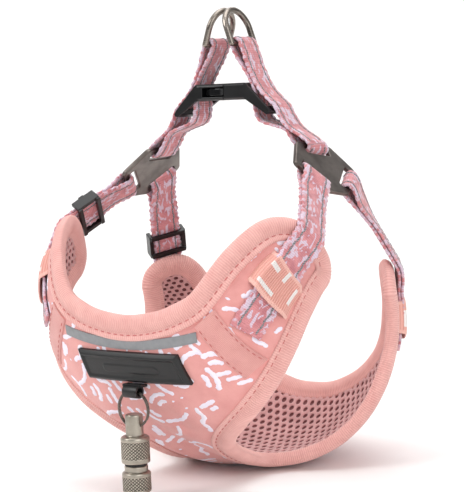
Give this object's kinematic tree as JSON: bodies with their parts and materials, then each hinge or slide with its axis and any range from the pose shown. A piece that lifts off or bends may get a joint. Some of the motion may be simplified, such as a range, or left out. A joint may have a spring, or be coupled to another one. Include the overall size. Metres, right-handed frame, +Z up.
{
  "type": "no pull dog harness",
  "caption": "Step-in small-dog harness: padded chest vest, adjustable webbing straps, contoured quick-release buckle, leash rings and a chest address capsule.",
  "frame": {"origin": "under the middle of the vest, at the height of the lowest point of its edge roll; X=0 is the harness's mirror plane and Y=0 passes through the buckle", "axes": "+Z up towards the leash rings, -Y towards the dog's chest, +X the harness's right side"},
  "size_m": [0.1533, 0.1597, 0.223],
  "materials": {
    "printed_fabric": "woven fabric, salmon pink with off-white print",
    "foam": "closed-cell foam, hidden",
    "air_mesh": "three-dimensional air mesh",
    "rib_binding": "ribbed knit, matt",
    "reflective_tape": "retroreflective grey",
    "black_rubber": "moulded, satin",
    "keeper_tape": "ribbed tape, peach with off-white bars",
    "print_webbing": "printed webbing, pink and white",
    "satin_nickel": "satin nickel plate",
    "capsule_metal": "knurled, satin",
    "seal_rubber": "soft",
    "slip_paper": "plain",
    "black_plastic": "moulded, semi-gloss"
  },
  "bodies": {
    "vest": {"chest_shell": "printed_fabric", "foam_pad": "foam", "mesh_lining": "air_mesh", "neck_binding": "rib_binding", "rear_binding": "rib_binding", "armhole_binding_right": "rib_binding", "armhole_binding_left": "rib_binding", "reflective_strip": "reflective_tape", "badge": "black_rubber", "badge_tab": "black_rubber", "front_band_right": "rib_binding", "front_band_left": "rib_binding", "front_tail_right": "print_webbing", "front_tail_left": "print_webbing", "front_keeper_right": "keeper_tape", "front_keeper_left": "keeper_tape", "rear_tail_right": "print_webbing", "rear_tail_left": "print_webbing", "rear_keeper_right": "keeper_tape", "rear_keeper_left": "keeper_tape"},
    "side_right": {"front_strap_right": "print_webbing", "rear_strap_right": "print_webbing", "plate_right": "satin_nickel"},
    "side_left": {"front_strap_left": "print_webbing", "rear_strap_left": "print_webbing", "plate_left": "satin_nickel"},
    "upper_right": {"upper_strap_right": "print_webbing", "buckle_socket": "black_plastic"},
    "upper_left": {"upper_strap_left": "print_webbing", "buckle_plug": "black_plastic"},
    "ring_right": {"leash_ring_right": "satin_nickel"},
    "ring_left": {"leash_ring_left": "satin_nickel"},
    "prong_front": {"prong_front": "black_plastic"},
    "prong_rear": {"prong_rear": "black_plastic"},
    "front_slider": {"front_slider": "black_plastic"},
    "rear_slider": {"rear_slider": "black_plastic"},
    "split_ring": {"split_ring": "satin_nickel"},
    "capsule_cap": {"capsule_cap": "capsule_metal"},
    "capsule_core": {"address_slip": "slip_paper", "capsule_seal": "seal_rubber"},
    "capsule_barrel": {"capsule_barrel": "capsule_metal"}
  },
  "joints": [
    {"name": "side_swing_right", "type": "hinge", "parent": "vest", "child": "side_right", "pos_m": [0.07251, -0.04746, 0.11575], "axis": [-0.0252, 0.9637, -0.2657], "range_deg": [0, 45], "deforming": ["front_strap_right", "rear_strap_right", "prong_front", "prong_rear"]},
    {"name": "side_swing_left", "type": "hinge", "parent": "vest", "child": "side_left", "pos_m": [-0.07251, -0.04746, 0.11575], "axis": [-0.0252, -0.9637, 0.2657], "range_deg": [0, 45], "deforming": ["front_strap_left", "rear_strap_left", "prong_front", "prong_rear"]},
    {"name": "upper_swing_right", "type": "hinge", "parent": "side_right", "child": "upper_right", "pos_m": [0.04357, 0.00253, 0.15327], "axis": [0.13, 0.9781, -0.1623], "range_deg": [0, 20], "deforming": ["upper_strap_right", "prong_front", "prong_rear"]},
    {"name": "upper_swing_left", "type": "hinge", "parent": "side_left", "child": "upper_left", "pos_m": [-0.04341, -0.00042, 0.15348], "axis": [-0.0218, -0.9994, -0.0272], "range_deg": [0, 20], "deforming": ["upper_strap_left", "prong_front", "prong_rear"]},
    {"name": "ring_swing_right", "type": "hinge", "parent": "upper_right", "child": "ring_right", "pos_m": [0.0077, 0, 0.204], "axis": [0, 1, 0], "range_deg": [0, 100]},
    {"name": "ring_swing_left", "type": "hinge", "parent": "upper_left", "child": "ring_left", "pos_m": [-0.0077, 0, 0.204], "axis": [0, -1, 0], "range_deg": [0, 100]},
    {"name": "prong_squeeze_front", "type": "hinge", "parent": "upper_left", "child": "prong_front", "pos_m": [-0.0105, -0.0059, 0.181], "axis": [0, 0, 1], "range_deg": [0, 7], "stiffness_Nm_per_rad": 0.3},
    {"name": "prong_squeeze_rear", "type": "hinge", "parent": "upper_left", "child": "prong_rear", "pos_m": [-0.0105, 0.0059, 0.181], "axis": [0, 0, -1], "range_deg": [0, 7], "stiffness_Nm_per_rad": 0.3},
    {"name": "front_slider_move", "type": "slide", "parent": "side_left", "child": "front_slider", "axis": [0.368, 0.7896, 0.4911], "range_m": [0, 0.008]},
    {"name": "rear_slider_move", "type": "slide", "parent": "side_left", "child": "rear_slider", "axis": [0.2793, -0.4208, 0.8631], "range_m": [0, 0.012]},
    {"name": "split_ring_swing", "type": "hinge", "parent": "vest", "child": "split_ring", "pos_m": [0, -0.0866, 0.0488], "axis": [-1, 0, 0], "range_deg": [-8, 70]},
    {"name": "capsule_swing", "type": "hinge", "parent": "split_ring", "child": "capsule_cap", "pos_m": [0, -0.0866, 0.0331], "axis": [-1, 0, 0], "range_deg": [-12, 60]},
    {"name": "barrel_drop", "type": "slide", "parent": "capsule_cap", "child": "capsule_core", "axis": [0, 0, -1], "range_m": [0, 0.0024]},
    {"name": "barrel_unscrew", "type": "hinge", "parent": "capsule_core", "child": "capsule_barrel", "pos_m": [0, -0.0866, 0.0032], "axis": [0, 0, -1], "range_deg": [0, 1101.6]}
  ],
  "couplings": [
    {"joint": "barrel_unscrew", "follows": "barrel_drop", "rad_per_m": 7854}
  ]
}
